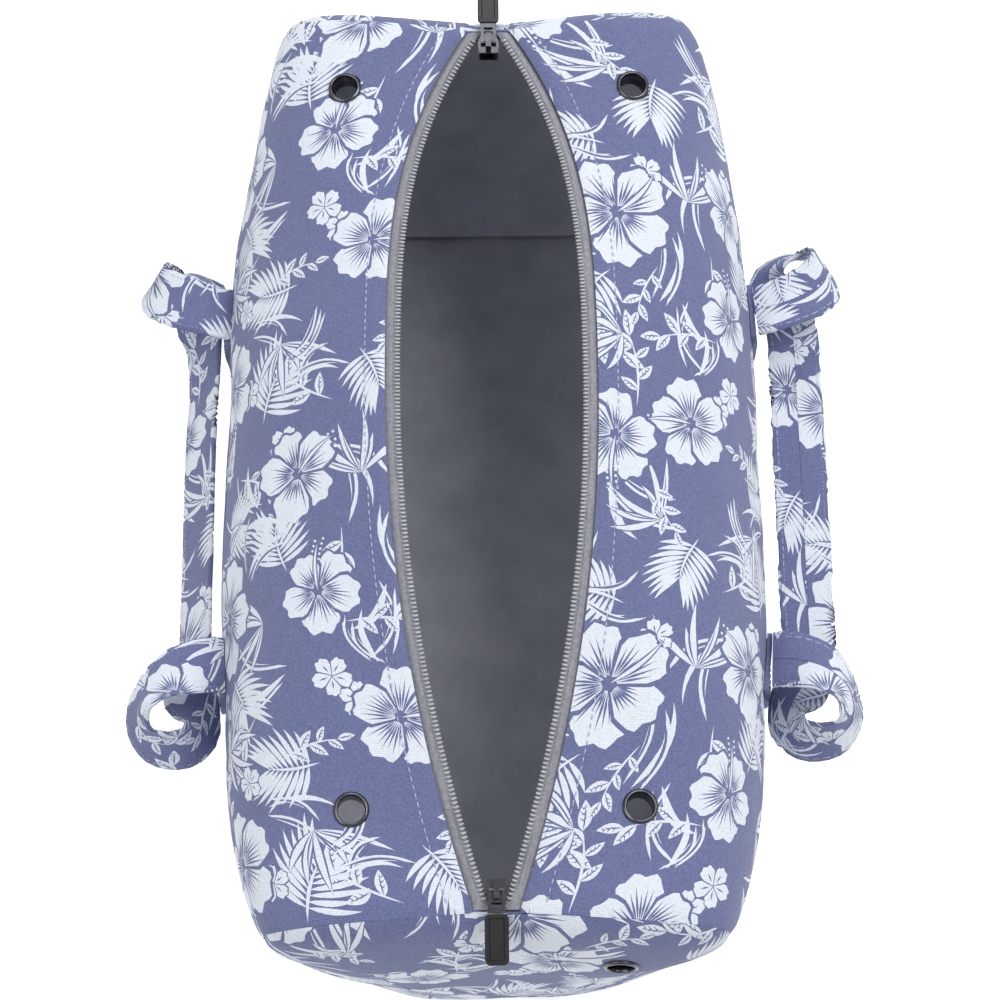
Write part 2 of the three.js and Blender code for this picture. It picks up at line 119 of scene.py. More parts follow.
class Look:
    """A procedural material, built up node by node."""

    def __init__(self, name, color, roughness, metallic=0.0, sheen=0.0):
        self.material = bpy.data.materials.new(name)
        self.material.use_nodes = True
        self.tree = self.material.node_tree
        self.shader = self.tree.nodes["Principled BSDF"]
        self.shader.inputs["Base Color"].default_value = color
        self.shader.inputs["Roughness"].default_value = roughness
        self.shader.inputs["Metallic"].default_value = metallic
        self.shader.inputs["Sheen Weight"].default_value = sheen
        self.shader.inputs["Sheen Roughness"].default_value = 0.5
        self.height = None

    def node(self, kind, **settings):
        made = self.tree.nodes.new(kind)
        for key, value in settings.items():
            setattr(made, key, value)
        return made

    def wire(self, source, target):
        self.tree.links.new(source, target)

    def math(self, operation, first, second=None):
        made = self.node("ShaderNodeMath", operation=operation)
        for socket, value in zip(made.inputs, (first, second)):
            if value is None:
                continue
            if isinstance(value, (int, float)):
                socket.default_value = value
            else:
                self.wire(value, socket)
        return made.outputs[0]

    def cloth_axes(self):
        """The cloth's own coordinates in metres, along the weave."""
        coordinates = self.node("ShaderNodeUVMap", uv_map="cloth")
        split = self.node("ShaderNodeSeparateXYZ")
        self.wire(coordinates.outputs["UV"], split.inputs[0])
        return split.outputs["X"], split.outputs["Y"]

    def weave(self, pitch, strength, depth):
        """A plain weave: threads that pass over and under, pitch apart."""
        u, v = self.cloth_axes()
        across = self.math("SINE", self.math("MULTIPLY", u, math.pi / pitch))
        along = self.math("SINE", self.math("MULTIPLY", v, math.pi / pitch))
        crossing = self.math("MULTIPLY", across, along)
        self.add_height(self.math("ABSOLUTE", crossing), strength, depth)

    def noise(self, scale, detail=3.0, roughness=0.6):
        place = self.node("ShaderNodeTexCoord")
        made = self.node("ShaderNodeTexNoise")
        self.wire(place.outputs["Object"], made.inputs["Vector"])
        made.inputs["Scale"].default_value = scale
        made.inputs["Detail"].default_value = detail
        made.inputs["Roughness"].default_value = roughness
        return made.outputs["Fac"]

    def add_height(self, height, strength, depth):
        bump = self.node("ShaderNodeBump")
        bump.inputs["Strength"].default_value = strength
        bump.inputs["Distance"].default_value = depth
        self.wire(height, bump.inputs["Height"])
        if self.height is not None:
            self.wire(self.height, bump.inputs["Normal"])
        self.height = bump.outputs["Normal"]
        self.wire(self.height, self.shader.inputs["Normal"])

    def vary_color(self, factor, dark, light, low=0.3, high=0.7):
        ramp = self.node("ShaderNodeValToRGB")
        ramp.color_ramp.elements[0].position = low
        ramp.color_ramp.elements[0].color = dark
        ramp.color_ramp.elements[1].position = high
        ramp.color_ramp.elements[1].color = light
        self.wire(factor, ramp.inputs["Fac"])
        self.wire(ramp.outputs["Color"], self.shader.inputs["Base Color"])


def canvas_look(name, dark, light):
    look = Look(name, light, 0.88, sheen=0.15)
    look.vary_color(look.noise(900, 2.0), dark, light)
    look.add_height(look.noise(260, 4.0), 0.25, 0.0006)
    look.weave(0.8 * MM, 0.6, 0.0004)
    return look.material


GROUND = canvas_look("canvas_ground", srgb(92, 99, 142), srgb(110, 118, 158))
INK = canvas_look("canvas_print", srgb(212, 219, 230), srgb(226, 231, 240))


def lining_look():
    look = Look("lining", srgb(196, 198, 208), 0.75, sheen=0.2)
    look.vary_color(look.noise(40, 3.0), srgb(182, 185, 196), srgb(204, 206, 216))
    look.weave(0.35 * MM, 0.4, 0.0002)
    return look.material


def tape_look():
    look = Look("zip_tape", srgb(150, 151, 160), 0.85, sheen=0.2)
    u, v = look.cloth_axes()
    slant = look.math("ADD", u, look.math("PINGPONG", v, 0.0012))
    ribs = look.math("SINE", look.math("MULTIPLY", slant, 2 * math.pi / (0.9 * MM)))
    look.add_height(ribs, 0.6, 0.0003)
    look.vary_color(look.noise(600, 2.0), srgb(136, 137, 146), srgb(162, 163, 171))
    return look.material


def speckled_look(name, base, roughness, speckle, dark, light, grain, **shine):
    """A colour that varies between two shades, over a fine grain of (noise, strength, depth)."""
    look = Look(name, srgb(*base), roughness, **shine)
    look.vary_color(look.noise(*speckle), srgb(*dark), srgb(*light))
    noise_settings, strength, depth = grain
    look.add_height(look.noise(*noise_settings), strength, depth)
    return look.material


def thread_look(name, dark, light):
    grain = ((2500, 2.0), 0.4, 0.0001)
    return speckled_look(name, light, 0.6, (900, 2.0), dark, light, grain, sheen=0.3)


LINING = lining_look()
TAPE = tape_look()
COIL = speckled_look("zip_coil", (176, 180, 182), 0.35, (500, 2.0), (160, 165, 168), (188, 192, 194),
                     ((900, 2.0), 0.2, 0.0002))
METAL = speckled_look("gunmetal", (92, 93, 98), 0.22, (220, 4.0), (82, 83, 88), (104, 105, 110),
                      ((700, 3.0), 0.12, 0.0001), metallic=1.0)
BLACK = speckled_look("pull_black", (16, 14, 19), 0.28, (150, 3.0), (12, 11, 15), (24, 22, 27),
                      ((1200, 3.0), 0.15, 0.0001))
BOARD = speckled_look("board", (184, 177, 163), 0.8, (60, 4.0), (174, 167, 152), (192, 186, 172),
                      ((800, 3.0), 0.3, 0.0002))
THREAD = thread_look("thread", (150, 157, 192), (184, 190, 215))
THREAD_DARK = thread_look("coil_thread", (92, 93, 104), (122, 123, 134))

# ---- Sizes read from the frame -----------------------------------------------------------
EDGE_GAP = 0.3 * MM
HALF_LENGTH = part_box("back_zip_tape")[1].x + 2 * EDGE_GAP
END_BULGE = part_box("right_end_panel")[1].x - HALF_LENGTH
END_HALF_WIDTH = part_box("right_end_panel")[1].y
MIDDLE_HALF_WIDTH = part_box("back_panel")[1].y
MIDDLE_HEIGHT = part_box("back_panel")[1].z
COIL_SUNK = 0.9 * MM
COIL_HEIGHT = 2.2 * MM
COIL_WIDTH = 2.6 * MM
END_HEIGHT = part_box("back_zip_coil")[0].z + COIL_SUNK + COIL_HEIGHT
WALL_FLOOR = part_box("back_panel")[0].z
MOUTH_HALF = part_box("back_zip_coil")[1].y - COIL_WIDTH
MOUTH_PEAK = -30 * MM
COIL_END_HALF_GAP = 1.7 * MM
TAPE_SHOWN = 7 * MM
CLOTH = 3 * MM
CLOTH_HOLE = 6.3 * MM
LINING_HOLE = 6.6 * MM
LINING_DEPTH = 5 * MM
STRAP_WIDTH = 25 * MM
STRAP_THICKNESS = 2.5 * MM
ANCHOR_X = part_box("back_handle_anchor_right")[1].x - STRAP_WIDTH / 2
HINGE_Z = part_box("back_handle_anchor_right")[1].z + STRAP_THICKNESS / 2 + EDGE_GAP
HINGE_Y = abs(float(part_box("back_handle")[0].y)) + 0.9 * MM

# The wall from the base seam over the shoulder, as fractions of half width and height, for the
# middle of the bag and for its ends. An end's points also say how far past HALF_LENGTH they lie, in mm.
MIDDLE_OUTLINE = [(0.78, 0), (0.89, 0.17), (0.975, 0.38), (1, 0.53), (0.965, 0.7), (0.85, 0.845),
                  (0.66, 0.93)]
END_OUTLINE = [(0.8, 0, -10), (0.9, 0.24, -6), (0.96, 0.48, -1), (0.985, 0.7, 3), (1, 0.86, 6),
               (0.93, 0.965, 6), (0.66, 1.01, 4)]


def blend_values(a, b, share):
    return a + (b - a) * share


def mouth_height(x):
    return blend_values(END_HEIGHT, MIDDLE_HEIGHT, math.cos(math.pi / 2 * x / HALF_LENGTH) ** 2)


def mouth_half(x):
    right = x > MOUTH_PEAK
    reach = HALF_LENGTH - MOUTH_PEAK if right else HALF_LENGTH + MOUTH_PEAK
    openness = 1 - min(abs((x - MOUTH_PEAK) / reach), 1) ** (2.1 if right else 3)
    return blend_values(COIL_END_HALF_GAP, MOUTH_HALF, openness)


def smooth_line(points, count):
    """A smooth line through the points, with even steps along its length; and its length."""
    given = np.array(points, float)
    p = np.vstack([2 * given[0] - given[1], given, 2 * given[-1] - given[-2]])
    t = np.linspace(0, 1, 24, endpoint=False)[:, None]
    dense = []
    for i in range(len(given) - 1):
        a, b, c, d = p[i:i + 4]
        dense.append(0.5 * (2 * b + (c - a) * t + (2 * a - 5 * b + 4 * c - d) * t ** 2
                            + (3 * b - a - 3 * c + d) * t ** 3))
    dense = np.vstack(dense + [given[-1:]])
    steps = np.linalg.norm(np.diff(dense[:, :3], axis=0), axis=1)
    lengths = np.concatenate([[0], np.cumsum(steps)])
    even = np.linspace(0, lengths[-1], count)
    return np.stack([np.interp(even, lengths, column) for column in dense.T], axis=1), lengths[-1]


# ---- The shell's surface -------------------------------------------------------------------
ALONG = 157
ROUND = 121
STATIONS = np.linspace(-HALF_LENGTH, HALF_LENGTH, ALONG)


def section(x):
    share = x / HALF_LENGTH
    fullness = 1 - abs(share) ** 4
    points = []
    for (across, up), (end_across, end_up, past) in zip(MIDDLE_OUTLINE, END_OUTLINE):
        y = blend_values(END_HALF_WIDTH * end_across, MIDDLE_HALF_WIDTH * across, fullness)
        z = blend_values(END_HEIGHT * end_up, MIDDLE_HEIGHT * up, fullness)
        points.append((x + past * MM * share ** 3, y, max(z, WALL_FLOOR)))
    points.append((x, mouth_half(x) + TAPE_SHOWN, mouth_height(x)))
    return smooth_line(points, ROUND)


PANEL_WIDTH = section(0.0)[1]


def ripple_at(place, scale, seed):
    return noise.noise(Vector(place) * scale + Vector((0, 0, seed)))


def side_grid(side):
    """One long side's outer face: rows run from the left end to the right, columns from the base up."""
    grid = np.array([section(x)[0] for x in STATIONS])
    grid[:, :, 1] *= side
    return grid


def grid_normals(grid, side):
    normal = np.cross(np.gradient(grid, axis=0), np.gradient(grid, axis=1)) * -side
    return normal / np.linalg.norm(normal, axis=2, keepdims=True)


def soften(grid, side):
    """Seams pull the cloth in, and the slack between them ripples a little."""
    from_end = HALF_LENGTH - np.abs(STATIONS)[:, None]
    from_base = np.linspace(0, PANEL_WIDTH, ROUND)[None, :]
    from_mouth = PANEL_WIDTH - from_base
    dent = 1.7 * MM * np.exp(-from_end / (2.5 * MM)) + 1.4 * MM * np.exp(-from_base / (3 * MM))
    ripple = np.zeros(dent.shape)
    for i, x in enumerate(STATIONS):
        for j in range(ROUND):
            v = PANEL_WIDTH * j / (ROUND - 1)
            broad = ripple_at((x, v, 0), 15, 3 * side) * 3.0
            fine = ripple_at((x, v * 1.6, 0), 42, 9 * side) * 0.9
            ripple[i, j] = (broad + fine) * MM
    proud = 0.8 * MM
    ripple = np.where(ripple > 0, proud * np.tanh(ripple / proud), ripple)
    calm = np.clip(from_end / (22 * MM), 0, 1) * np.clip(from_mouth / (26 * MM), 0, 1)
    calm = calm * np.clip(from_base / (25 * MM), 0, 1)
    rolled = 1.2 * MM * (1 - np.sqrt(1 - np.clip(1 - from_mouth / (1.6 * MM), 0, 1) ** 2))
    return grid + grid_normals(grid, side) * (ripple * calm - dent - rolled)[:, :, None]


def sample(grid, u, v):
    """The grid's value at cloth coordinates u, v, arrays of metres."""
    rows, columns = grid.shape[:2]
    a = np.clip((u + HALF_LENGTH) / (2 * HALF_LENGTH) * (rows - 1), 0, rows - 1.001)
    b = np.clip(v / PANEL_WIDTH * (columns - 1), 0, columns - 1.001)
    i, j = a.astype(int), b.astype(int)
    s, t = (a - i)[:, None], (b - j)[:, None]
    low = grid[i, j] * (1 - s) + grid[i + 1, j] * s
    high = grid[i, j + 1] * (1 - s) + grid[i + 1, j + 1] * s
    return low * (1 - t) + high * t


class Surface:
    """Lifts flat cloth coordinates into place; sign turns the normal to the outer face."""

    def __init__(self, place, sign=1):
        self.place = place
        self.sign = sign

    def normal(self, flat):
        step = 0.9 * MM
        du = self.place(flat + np.array([step, 0])) - self.place(flat - np.array([step, 0]))
        dv = self.place(flat + np.array([0, step])) - self.place(flat - np.array([0, step]))
        normal = np.cross(du, dv) * self.sign
        return normal / np.maximum(np.linalg.norm(normal, axis=1, keepdims=True), 1e-12)

    def lift(self, flat, out=0.0):
        flat = np.asarray(flat, float).reshape(-1, 2)
        if isinstance(out, float) and out == 0.0:
            return self.place(flat)
        return self.place(flat) + self.normal(flat) * out

    def offset(self, out):
        return Surface(lambda flat: self.lift(flat, out), self.sign)


def side_surface(side):
    grid = soften(side_grid(side), side)
    return grid, Surface(lambda flat: sample(grid, flat[:, 0], flat[:, 1]), -side)


FRONT_GRID, FRONT = side_surface(-1)
BACK_GRID, BACK = side_surface(1)
SIDES = {"front": (-1, FRONT_GRID, FRONT), "back": (1, BACK_GRID, BACK)}


# ---- The print -------------------------------------------------------------------------------
# Each motif is a list of (polygon, inked) in millimetres round its own origin, painted in order.
def bent_blade(length, width, bend, steps=7):
    """A pointed blade from the origin along +X, whose middle line bends sideways."""
    upper, lower = [], []
    for k in range(steps + 1):
        t = k / steps
        middle = bend * math.sin(math.pi * t * 0.75)
        half = width / 2 * math.sin(math.pi * t) ** 0.8 * (1.15 - 0.5 * t)
        upper.append((length * t, middle + half))
        lower.append((length * t, middle - half))
    return upper + lower[-2:0:-1]


def turned_shape(shape, angle, scale=1.0, dx=0.0, dy=0.0, mirror=False):
    c, s = math.cos(math.radians(angle)) * scale, math.sin(math.radians(angle)) * scale
    flip = -1 if mirror else 1
    return [(dx + c * x - s * y * flip, dy + s * x + c * y * flip) for x, y in shape]


def turned_motif(motif, *where, **how):
    return [(turned_shape(shape, *where, **how), inked) for shape, inked in motif]


def petal(length, half_angle, ruffle, grow=0.0):
    outline = [(-grow, 0.0)]
    for k in range(15):
        t = -1 + 2 * k / 14
        reach = length * (1 - 0.38 * abs(t) ** 3.2) * (1 + 0.05 * math.sin(ruffle + 11 * t)) + grow
        angle = half_angle * t * (1 + 0.06 * grow)
        outline.append((reach * math.cos(angle), reach * math.sin(angle)))
    return outline


def hibiscus(seed, radius=23.0):
    """Five ruffled petals that overlap, veined from the middle, with a dotted stamen."""
    chance = random.Random(seed)
    parts = []
    for k in (0, 2, 4, 1, 3):
        angle = 72 * k + chance.uniform(-7, 7)
        length = radius * chance.uniform(0.86, 1.05)
        wave = chance.uniform(0, 6)
        parts.append((turned_shape(petal(length, 0.72, wave, 1.3), angle), False))
        parts.append((turned_shape(petal(length, 0.68, wave), angle), True))
        for turn in (-30, -22, -14, -5, 3, 11, 20, 29):
            reach = length * chance.uniform(0.5, 0.86)
            vein = [(length * 0.12, 0.0), (reach * 0.5, 0.5), (reach, 0.0), (reach * 0.5, -0.5)]
            parts.append((turned_shape(vein, angle + turn), False))
    heart = [(2.6 * (1 + 0.35 * (k % 2)) * math.cos(k * math.pi / 6),
              2.6 * (1 + 0.35 * (k % 2)) * math.sin(k * math.pi / 6)) for k in range(12)]
    parts.append((heart, False))
    lean = chance.uniform(0, 360)
    parts.append((turned_shape(bent_blade(radius * 1.12, 3.2, 2.5), lean), False))
    parts.append((turned_shape(bent_blade(radius * 1.08, 1.7, 2.5), lean), True))
    for k in range(9):
        reach = radius * (0.72 + 0.06 * k)
        x, y = reach, 2.5 * math.sin(math.pi * 0.75 * reach / radius) + (2.1 if k % 2 else -2.1)
        dot = [(x + 0.75 * math.cos(a), y + 0.75 * math.sin(a)) for a in (0, 1.05, 2.1, 3.14, 4.2, 5.24)]
        parts.append((turned_shape(dot, lean), True))
    return parts


def veined_leaf(length, width):
    leaf = bent_blade(length, width, width * 0.12)
    rib = bent_blade(length * 0.86, 0.7, width * 0.12, 4)
    parts = [(leaf, True), (rib, False)]
    for k in (0.3, 0.5, 0.68):
        for side in (-1, 1):
            vein = [(length * k, 0.0), (length * (k + 0.16), side * width * 0.3), (length * (k + 0.06), 0.0)]
            parts.append((vein, False))
    return parts


def sprig(seed, leaves=6):
    """A bending stem with veined leaves on both sides."""
    chance = random.Random(seed)
    parts = [(bent_blade(34, 1.3, 4), True)]
    for k in range(leaves):
        t = 0.22 + 0.76 * k / (leaves - 1)
        x, y = 34 * t, 4 * math.sin(math.pi * t * 0.75)
        side = 1 if k % 2 else -1
        length = chance.uniform(9, 13)
        turn = 0 if k == leaves - 1 else side * chance.uniform(38, 60)
        parts += turned_motif(veined_leaf(length, length * 0.46), turn, dx=x, dy=y)
    return parts


def frond(seed, leaflets=9):
    """A palm frond: leaflets fan out of a short stem, each split by a fine line."""
    chance = random.Random(seed)
    parts = [(bent_blade(24, 1.4, 3), True)]
    for k in range(leaflets):
        t = k / (leaflets - 1)
        x, y = 5 + 17 * t, 3 * math.sin(math.pi * (5 + 17 * t) / 24 * 0.75)
        for side in (-1, 1):
            length = (17 + 5 * math.sin(math.pi * t)) * chance.uniform(0.85, 1.1)
            turn = side * (66 - 44 * t)
            parts.append((turned_shape(bent_blade(length, 2.5, side * 1.6, 6), turn, dx=x, dy=y), True))
    return parts


def crescents(seed, count=3):
    """Long bending blades, some of them hollow."""
    chance = random.Random(seed)
    parts = []
    for k in range(count):
        length = chance.uniform(24, 38)
        bend = chance.uniform(5, 10)
        width = chance.uniform(2.6, 4.2)
        turn = chance.uniform(-32, 32)
        parts.append((turned_shape(bent_blade(length, width, bend, 9), turn, dy=k * 3.5), True))
        if k % 2 == 0:
            hollow = bent_blade(length, width * 0.45, bend, 9)
            inner = [(x * 0.86 + length * 0.05, y * 0.93) for x, y in hollow]
            parts.append((turned_shape(inner, turn, dy=k * 3.5), False))
    return parts


def flame(seed):
    """A spray of pointed blades that open from one place, as on a bird of paradise."""
    chance = random.Random(seed)
    parts = []
    for k, turn in enumerate((-48, -26, -8, 10, 30, 52)):
        length = chance.uniform(19, 33)
        bend = chance.uniform(1.5, 4.5) * (1 if turn > 0 else -1)
        parts.append((turned_shape(bent_blade(length, 5.2, bend), turn), False))
        parts.append((turned_shape(bent_blade(length, 3.3, bend), turn), True))
        if k % 2:
            parts.append((turned_shape(bent_blade(length * 0.8, 0.8, bend * 0.8, 5), turn), False))
    return parts


def blossom(seed):
    """A small flower of five rounded petals."""
    parts = []
    for k in range(5):
        parts.append((turned_shape(petal(8.0, 0.68, seed + k, 0.5), 72 * k), False))
        parts.append((turned_shape(petal(8.0, 0.6, seed + k), 72 * k), True))
        parts.append((turned_shape([(1.5, 0), (3.6, 0.35), (5.6, 0), (3.6, -0.35)], 72 * k), False))
    return parts


# One repeat of the print: motif, place along and across the cloth, turn and scale. Every second row
# of repeats is moved along; a motif placed more than MOTIF_REACH off the cloth is left out.
REPEAT = (208.0, 118.0)
ROW_SHIFT = 40
MOTIF_REACH = 42
LAYOUT = [
    (crescents(1), 2, 40, 60, 1.0), (crescents(2), 70, 12, 200, 1.0), (crescents(3), 96, 100, 120, 1.0),
    (crescents(4), 150, 30, 300, 1.1), (crescents(5), 176, 92, 20, 1.0), (crescents(6), 60, 70, 250, 1.0),
    (crescents(7), 118, 52, 75, 0.9), (crescents(8), 196, 60, 210, 0.9), (crescents(9), 28, 112, 330, 1.0),
    (frond(1), 58, 30, 35, 1.0), (frond(2), 160, 60, 150, 1.05), (frond(3), 100, 78, 265, 0.95),
    (frond(4), 205, 22, 95, 0.95), (frond(5), 20, 72, 190, 0.9), (frond(6), 134, 108, 20, 0.9),
    (sprig(1), 78, 52, 300, 0.95), (sprig(2), 180, 40, 60, 0.9), (sprig(3), 120, 20, 170, 0.95),
    (sprig(4), 44, 96, 80, 0.9), (sprig(5), 156, 96, 230, 0.9), (sprig(6), 4, 98, 345, 0.85),
    (flame(1), 88, 26, 80, 0.9), (flame(2), 190, 108, 190, 0.9), (flame(3), 126, 70, 15, 0.9),
    (flame(4), 40, 58, 280, 0.85), (flame(5), 168, 8, 130, 0.85),
    (crescents(10), 20, 50, 130, 0.8), (crescents(11), 112, 88, 320, 0.8), (crescents(12), 200, 40, 260, 0.8),
    (sprig(7), 98, 62, 100, 0.75), (sprig(8), 54, 8, 20, 0.75), (crescents(13), 146, 78, 100, 0.8),
    (sprig(9), 200, 88, 280, 0.7), (crescents(14), 62, 110, 170, 0.8), (sprig(10), 150, 12, 330, 0.75),
    (blossom(1), 66, 88, 0, 1.0), (blossom(2), 76, 97, 30, 0.9), (blossom(3), 172, 72, 10, 1.0),
    (blossom(4), 104, 44, 50, 0.85), (blossom(5), 10, 8, 20, 0.9), (blossom(6), 144, 50, 40, 0.85),
    (hibiscus(1), 30, 24, 10, 1.08), (hibiscus(2), 134, 30, 40, 0.92), (hibiscus(3), 84, 112, 25, 0.86),
    (hibiscus(4), 186, 78, 55, 0.9), (hibiscus(5), 30, 86, 0, 0.8),
]


def print_over(low, high, shift, scale=1.0):
    """The motifs of the repeats that touch the rectangle from low to high, in metres."""
    unit = MM * scale
    found = []
    period = (REPEAT[0] * unit, REPEAT[1] * unit)
    first = [math.floor((low[k] - shift[k]) / period[k]) - 1 for k in (0, 1)]
    last = [math.ceil((high[k] - shift[k]) / period[k]) + 1 for k in (0, 1)]
    for row in range(first[1], last[1]):
        for column in range(first[0], last[0]):
            for motif, x, y, turn, size in LAYOUT:
                cx = shift[0] + (column * REPEAT[0] + x + ROW_SHIFT * (row % 2)) * unit
                cy = shift[1] + (row * REPEAT[1] + y) * unit
                reach = MOTIF_REACH * unit
                if not (low[0] - reach < cx < high[0] + reach and low[1] - reach < cy < high[1] + reach):
                    continue
                for shape, inked in turned_motif(motif, turn, size * unit, cx, cy):
                    xs, ys = [p[0] for p in shape], [p[1] for p in shape]
                    if max(xs) > low[0] and min(xs) < high[0] and max(ys) > low[1] and min(ys) < high[1]:
                        found.append((shape, inked))
    return found


# ---- Making pieces -----------------------------------------------------------------------------
def add_piece(name, mesh, looks, body, replaced=()):
    made = bpy.data.objects.new(name, mesh)
    bpy.context.collection.objects.link(made)
    for look in looks:
        mesh.materials.append(look)
    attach(made, body)
    if replaced:
        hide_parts(*replaced)
    return made


def smooth(mesh):
    mesh.polygons.foreach_set("use_smooth", [True] * len(mesh.polygons))


def spaced_line(corners, spacing):
    """A line through the corners, with points at most spacing apart."""
    points = []
    for a, b in zip(corners, corners[1:]):
        a, b = Vector(a), Vector(b)
        steps = max(1, math.ceil((b - a).length / spacing))
        points += [tuple(a.lerp(b, k / steps)) for k in range(steps)]
    return points + [tuple(corners[-1])]


def spaced(corners, spacing):
    """The same round a closed outline."""
    return spaced_line(corners + corners[:1], spacing)[:-1]


def field_points(outline, spacing):
    us, vs = [p[0] for p in outline], [p[1] for p in outline]
    points = []
    v = min(vs) + spacing / 2
    row = 0
    while v < max(vs):
        u = min(us) + spacing * (0.5 if row % 2 else 1)
        while u < max(us):
            points.append((u, v))
            u += spacing
        row += 1
        v += spacing * 0.87
    return points


def within(points, shape):
    """Which of the points lie inside a closed outline."""
    x, y = points[:, 0], points[:, 1]
    hit = np.zeros(len(points), bool)
    for (x0, y0), (x1, y1) in zip(shape, shape[1:] + shape[:1]):
        if y0 == y1:
            continue
        crosses = (y0 > y) != (y1 > y)
        hit ^= crosses & (x < (x1 - x0) * (y - y0) / (y1 - y0) + x0)
    return hit


def inked_at(points, shapes):
    """Whether the topmost printed shape over each point is inked."""
    order = np.argsort(points[:, 0])
    sorted_x = points[order, 0]
    inked = np.zeros(len(points), bool)
    for shape, ink in shapes:
        xs, ys = [p[0] for p in shape], [p[1] for p in shape]
        near = order[np.searchsorted(sorted_x, min(xs)):np.searchsorted(sorted_x, max(xs))]
        near = near[(points[near, 1] > min(ys)) & (points[near, 1] < max(ys))]
        inked[near[within(points[near], shape)]] = ink
    return inked


def cut_cloth(outline, holes, prints, spacing):
    """Triangles of the flat cloth, each inked or not, cut along the print's outlines."""
    outline = spaced(outline, spacing)
    points, edges = [], []
    for shape in [outline] + list(holes) + [shape for shape, _ in prints]:
        start, count = len(points), len(shape)
        points += [tuple(p) for p in shape]
        edges += [(start + k, start + (k + 1) % count) for k in range(count)]
    points += field_points(outline, spacing)
    places, _, triangles, _, _, _ = delaunay_2d_cdt([Vector(p) for p in points], edges, [], 0, 1e-7, False)
    places = np.array([tuple(p) for p in places])
    triangles = np.array([tuple(t) for t in triangles])
    middles = places[triangles].mean(axis=1)
    kept = within(middles, outline)
    for hole in holes:
        kept &= ~within(middles, hole)
    triangles = triangles[kept]
    inks = inked_at(middles[kept], prints)
    used, renumbered = np.unique(triangles, return_inverse=True)
    return places[used], renumbered.reshape(-1, 3).tolist(), inks.astype(int).tolist()


def border_of(triangles):
    edges = {(a, b) for t in triangles for a, b in zip(t, t[1:] + t[:1])}
    return [(a, b) for a, b in edges if (b, a) not in edges]


def cloth_mesh(name, surface, outline, holes=(), prints=(), spacing=4 * MM, fold=CLOTH):
    """A cut piece of cloth in place, with its edges folded in by fold."""
    flat, triangles, inks = cut_cloth(outline, holes, prints, spacing)
    border = border_of(triangles)
    rim = sorted({i for edge in border for i in edge})
    top = surface.lift(flat)
    normals = surface.normal(flat)
    rows = [top[rim], surface.lift(flat[rim], -fold * 0.5), surface.lift(flat[rim], -fold)]
    verts = np.vstack([top] + rows)
    first = {old: len(flat) + k for k, old in enumerate(rim)}
    walls = []
    for a, b in border:
        for row in (0, 1):
            shift = row * len(rim)
            p, q = first[a] + shift, first[b] + shift
            walls.append([q, p, p + len(rim), q + len(rim)])
    faces = triangles + walls
    if surface.sign < 0:
        faces = [face[::-1] for face in faces]
    mesh = bpy.data.meshes.new(name)
    mesh.from_pydata(verts.tolist(), [], faces)
    mesh.polygons.foreach_set("material_index", inks + [0] * len(walls))
    uv = mesh.uv_layers.new(name="cloth")
    all_flat = np.vstack([flat] + [flat[rim]] * 3)
    order = np.empty(len(mesh.loops), int)
    mesh.loops.foreach_get("vertex_index", order)
    uv.data.foreach_set("uv", all_flat[order].ravel())
    smooth(mesh)
    tops = np.zeros((len(verts), 3))
    tops[:len(flat)] = normals
    mesh.normals_split_custom_set_from_vertices(tops.tolist())
    return mesh


def circle(center, radius, count=32):
    turns = (2 * math.pi * k / count for k in range(count))
    return [(center[0] + math.cos(a) * radius, center[1] + math.sin(a) * radius) for a in turns]


def rectangle(u0, u1, v0, v1):
    return [(u0, v0), (u1, v0), (u1, v1), (u0, v1)]


def nearest_cloth(grid, point):
    """Cloth coordinates on a long side nearest to a place."""
    flat = np.linalg.norm(grid - np.array(point), axis=2)
    i, j = np.unravel_index(flat.argmin(), flat.shape)
    return STATIONS[i], PANEL_WIDTH * j / (ROUND - 1)


def middle_of(node):
    low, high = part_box(node)
    return (low + high) / 2


def dashes(name, surface, path, pitch=3.4 * MM, share=0.68, radius=0.34 * MM, out=0.1 * MM):
    """Topstitching: short rounded threads laid end to end along a path in cloth coordinates."""
    path = np.array(path, float)
    lengths = np.concatenate([[0], np.cumsum(np.linalg.norm(np.diff(path, axis=0), axis=1))])
    starts = np.arange(0, lengths[-1] - pitch, pitch)
    stops = np.linspace(0, 1, 5)
    at = (starts[:, None] + stops[None, :] * pitch * share).ravel()
    flat = np.stack([np.interp(at, lengths, path[:, k]) for k in (0, 1)], axis=1)
    lift = np.tile(np.sin(np.pi * stops) ** 0.5 * radius * 1.2, len(starts))
    centers = surface.lift(flat, 0.0) + surface.normal(flat) * (lift + out - radius * 0.6)[:, None]
    ahead = flat + np.gradient(flat, axis=0)
    along = surface.lift(ahead) - surface.lift(flat)
    normal = surface.normal(flat)
    across = np.cross(along, normal)
    across /= np.maximum(np.linalg.norm(across, axis=1, keepdims=True), 1e-12)
    thick = np.tile(np.sin(np.pi * np.clip(stops, 0.04, 0.96)) ** 0.4 * radius, len(starts))[:, None]
    verts, faces, sides = [], [], 5
    for k in range(sides):
        a = 2 * math.pi * k / sides
        verts.append(centers + (across * math.cos(a) + normal * math.sin(a)) * thick)
    verts = np.stack(verts, axis=1).reshape(-1, 3)
    for d in range(len(starts)):
        base = d * len(stops) * sides
        for row in range(len(stops) - 1):
            for k in range(sides):
                p = base + row * sides + k
                q = base + row * sides + (k + 1) % sides
                faces.append((p, q, q + sides, p + sides))
        faces.append(tuple(base + k for k in range(sides - 1, -1, -1)))
        faces.append(tuple(base + (len(stops) - 1) * sides + k for k in range(sides)))
    mesh = bpy.data.meshes.new(name)
    mesh.from_pydata(verts.tolist(), [], faces)
    smooth(mesh)
    return mesh


